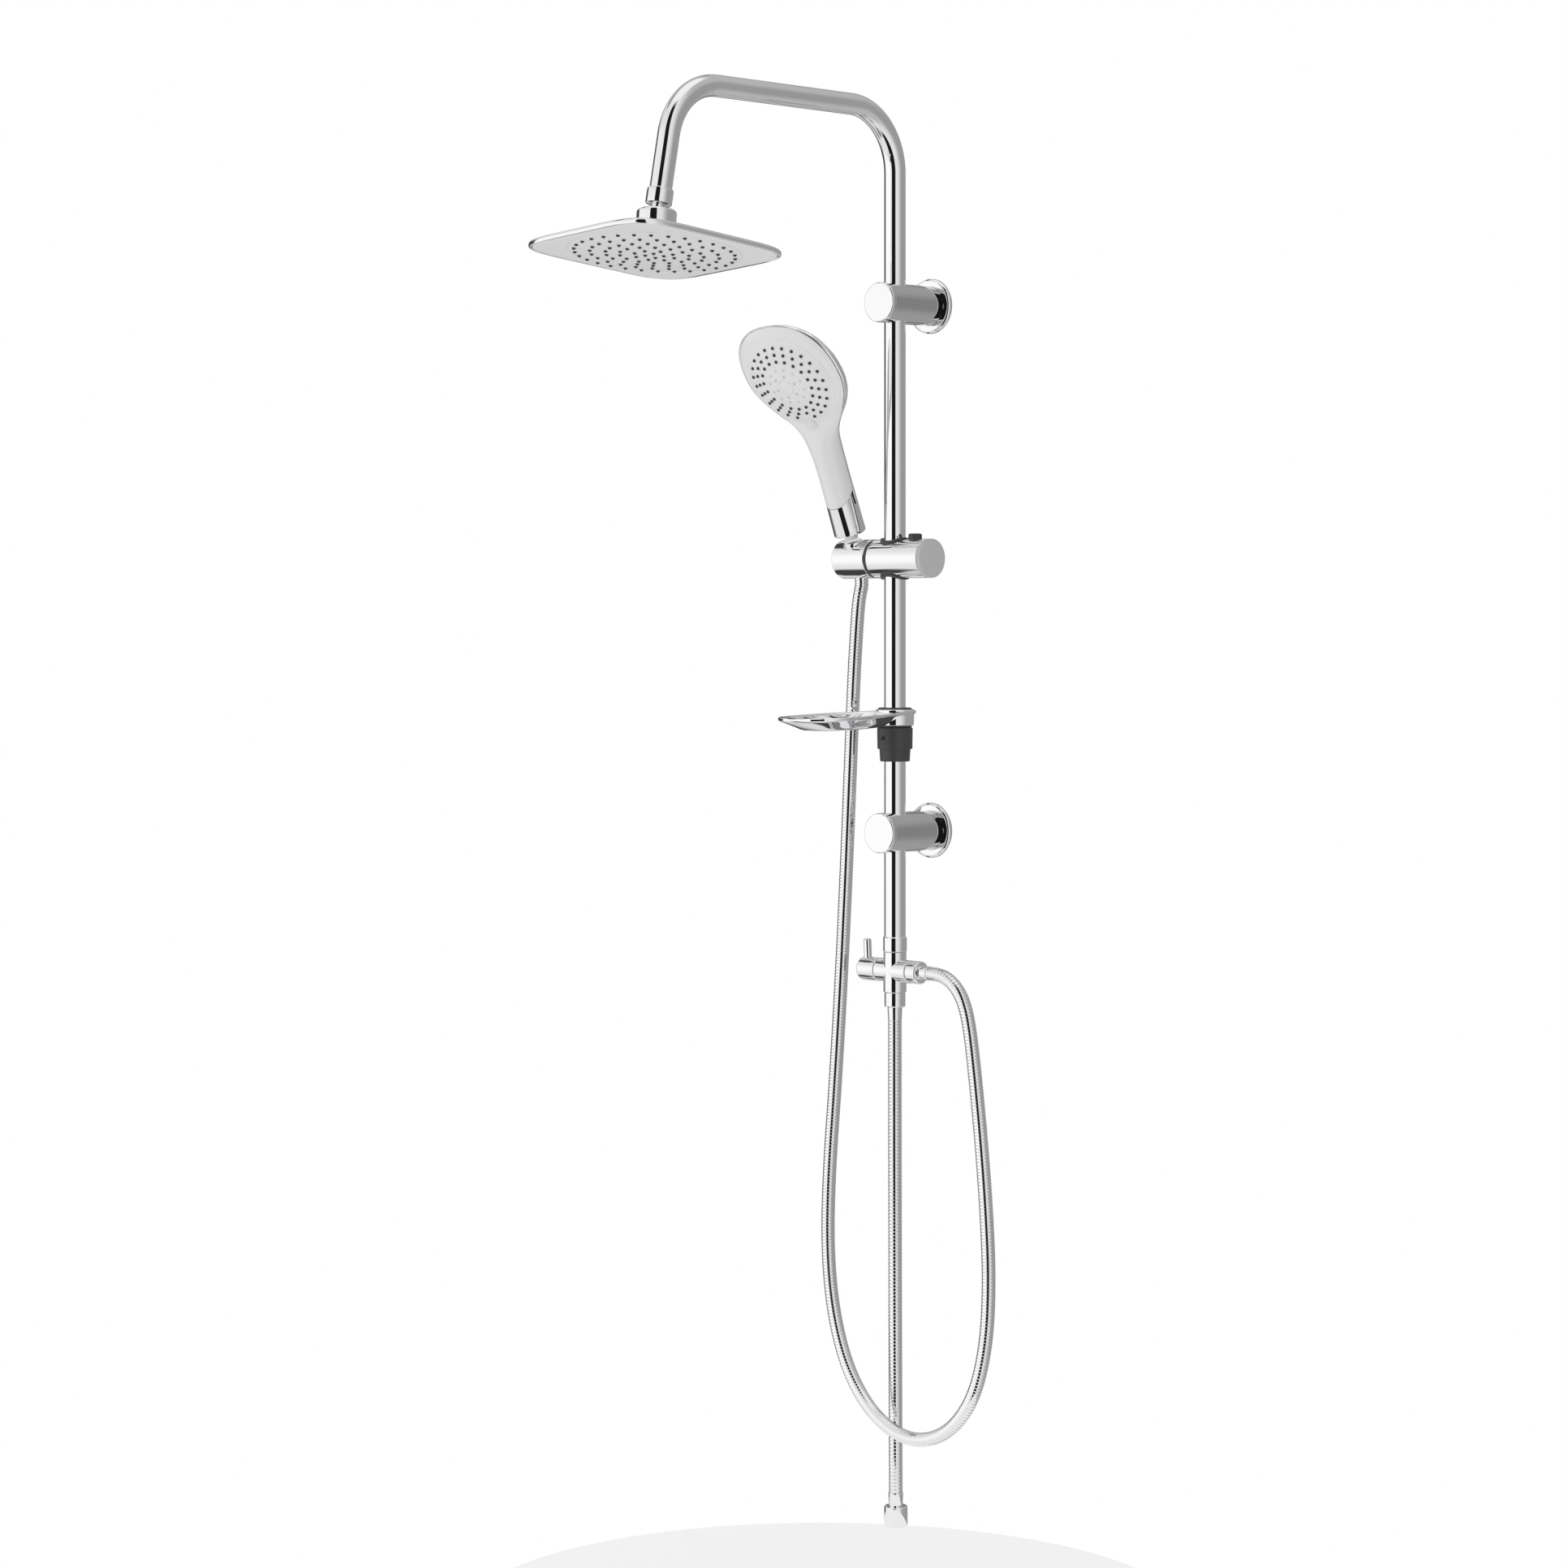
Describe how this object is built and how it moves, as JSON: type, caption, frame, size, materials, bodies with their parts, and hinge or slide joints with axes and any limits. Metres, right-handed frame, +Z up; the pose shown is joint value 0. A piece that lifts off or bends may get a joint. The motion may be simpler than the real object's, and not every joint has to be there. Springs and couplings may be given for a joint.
{
  "type": "rainfall shower column",
  "caption": "Wall-held shower column: bent riser with square overhead rose, sliding hand shower, soap dish, diverter and flexible hoses.",
  "frame": {"origin": "centre of the upper bracket's wall face", "axes": "+Y into the wall, +Z up, +X to the right when facing the wall"},
  "size_m": [0.2584, 0.5013, 1.4674],
  "materials": {
    "chrome": "polished chrome plate",
    "hose_steel": "polished interlocked steel hose",
    "brass_parts": "machined brass, plated where it shows",
    "white_plastic": "white moulded ABS, soft gloss",
    "nozzle_rubber": "dark grey silicone",
    "seal_rubber": "black seal rubber",
    "dark_plastic": "dark grey moulded nylon, satin",
    "grey_satin": "satin grey plate",
    "steel": "stainless steel",
    "zinc_plate": "cast zinc, bare"
  },
  "bodies": {
    "root": {"riser_tube": "chrome", "arm_nut": "chrome", "ball_nipple": "brass_parts", "upper_bracket_barrel": "chrome", "upper_bracket_cap": "chrome", "upper_bracket_rose": "chrome", "upper_bracket_wall_plate": "zinc_plate", "upper_bracket_grub_screw": "steel", "lower_bracket_barrel": "chrome", "lower_bracket_cap": "chrome", "lower_bracket_rose": "chrome", "lower_bracket_wall_plate": "zinc_plate", "lower_bracket_grub_screw": "steel", "diverter_body": "chrome", "diverter_top_nut": "chrome", "diverter_cartridge": "brass_parts", "outlet_nut": "chrome", "outlet_ferrule": "chrome", "supply_nut": "chrome", "supply_ferrule": "chrome", "hose_washers": "seal_rubber", "shower_hose": "hose_steel", "supply_hose": "hose_steel", "supply_end_ferrule": "chrome", "supply_end_washer": "seal_rubber"},
    "head_seat": {"ball_seat": "dark_plastic"},
    "head_seal": {"ball_seal": "seal_rubber"},
    "overhead": {"head_shell": "chrome", "head_collar": "chrome", "head_spray_plate": "white_plastic", "head_nozzle_mat": "nozzle_rubber"},
    "slider": {"slider_body": "chrome", "slider_liner": "dark_plastic", "slider_end_cap": "grey_satin", "button_spring": "steel", "slider_lock_pin": "dark_plastic", "seam_ring": "dark_plastic"},
    "lock_button": {"slider_button": "dark_plastic"},
    "holder": {"holder_barrel": "chrome", "holder_liner": "dark_plastic", "holder_pivot": "brass_parts"},
    "hand_shower": {"hand_front_shell": "white_plastic", "hand_back_shell": "chrome", "hand_waterway": "white_plastic", "hose_cone_nut": "chrome", "handle_washer": "seal_rubber"},
    "selector": {"hand_spray_plate": "white_plastic", "hand_nozzle_mat": "nozzle_rubber", "hand_centre_disc": "white_plastic", "hand_selector_ring": "white_plastic"},
    "dish_slide": {"dish_bush": "dark_plastic", "dish_clamp": "dark_plastic", "dish_clamp_screw": "steel"},
    "dish": {"dish_tray": "chrome"},
    "diverter_handle": {"diverter_knob": "chrome", "diverter_lever": "chrome"},
    "hose_end_nut": {"supply_end_nut": "chrome"}
  },
  "joints": [
    {"name": "head_tilt", "type": "hinge", "parent": "root", "child": "head_seat", "pos_m": [0, -0.39818, 0.06356], "axis": [1, 0, 0], "range_deg": [-15, 8]},
    {"name": "head_roll", "type": "hinge", "parent": "head_seat", "child": "head_seal", "pos_m": [0, -0.39818, 0.06356], "axis": [0, 1, 0], "range_deg": [-10, 10]},
    {"name": "head_spin", "type": "hinge", "parent": "head_seal", "child": "overhead", "pos_m": [0, -0.39818, 0.06356], "axis": [-0.0576, 0.1269, 0.9902], "continuous": true},
    {"name": "slider_travel", "type": "slide", "parent": "root", "child": "slider", "axis": [0, 0, 1], "range_m": [-0.09, 0.15], "deforming": ["shower_hose"]},
    {"name": "button_press", "type": "slide", "parent": "slider", "child": "lock_button", "axis": [0, 0, -1], "range_m": [0, 0.003], "stiffness_N_per_m": 600, "springref_m": -0.003, "deforming": ["button_spring"]},
    {"name": "holder_tilt", "type": "hinge", "parent": "slider", "child": "holder", "pos_m": [0, -0.057, -0.262], "axis": [1, 0, 0], "range_deg": [-10, 25]},
    {"name": "hand_shower_lift", "type": "slide", "parent": "holder", "child": "hand_shower", "axis": [0, -0.3714, 0.9285], "range_m": [0, 0.035]},
    {"name": "spray_select", "type": "hinge", "parent": "hand_shower", "child": "selector", "pos_m": [-0.04674, -0.16935, -0.08893], "axis": [0.0839, -0.79, -0.6074], "range_deg": [-40, 40]},
    {"name": "dish_travel", "type": "slide", "parent": "root", "child": "dish_slide", "axis": [0, 0, 1], "range_m": [-0.045, 0.08]},
    {"name": "dish_swivel", "type": "hinge", "parent": "dish_slide", "child": "dish", "pos_m": [0, -0.057, -0.418], "axis": [0, 0, 1], "range_deg": [-25, 90]},
    {"name": "diverter_turn", "type": "hinge", "parent": "root", "child": "diverter_handle", "pos_m": [-0.03, -0.057, -0.685], "axis": [1, 0, 0], "range_deg": [0, 90]},
    {"name": "end_nut_turn", "type": "hinge", "parent": "root", "child": "hose_end_nut", "pos_m": [-0.0046, -0.0506, -1.222], "axis": [-0.0196, 0.0268, -0.9994], "continuous": true}
  ]
}
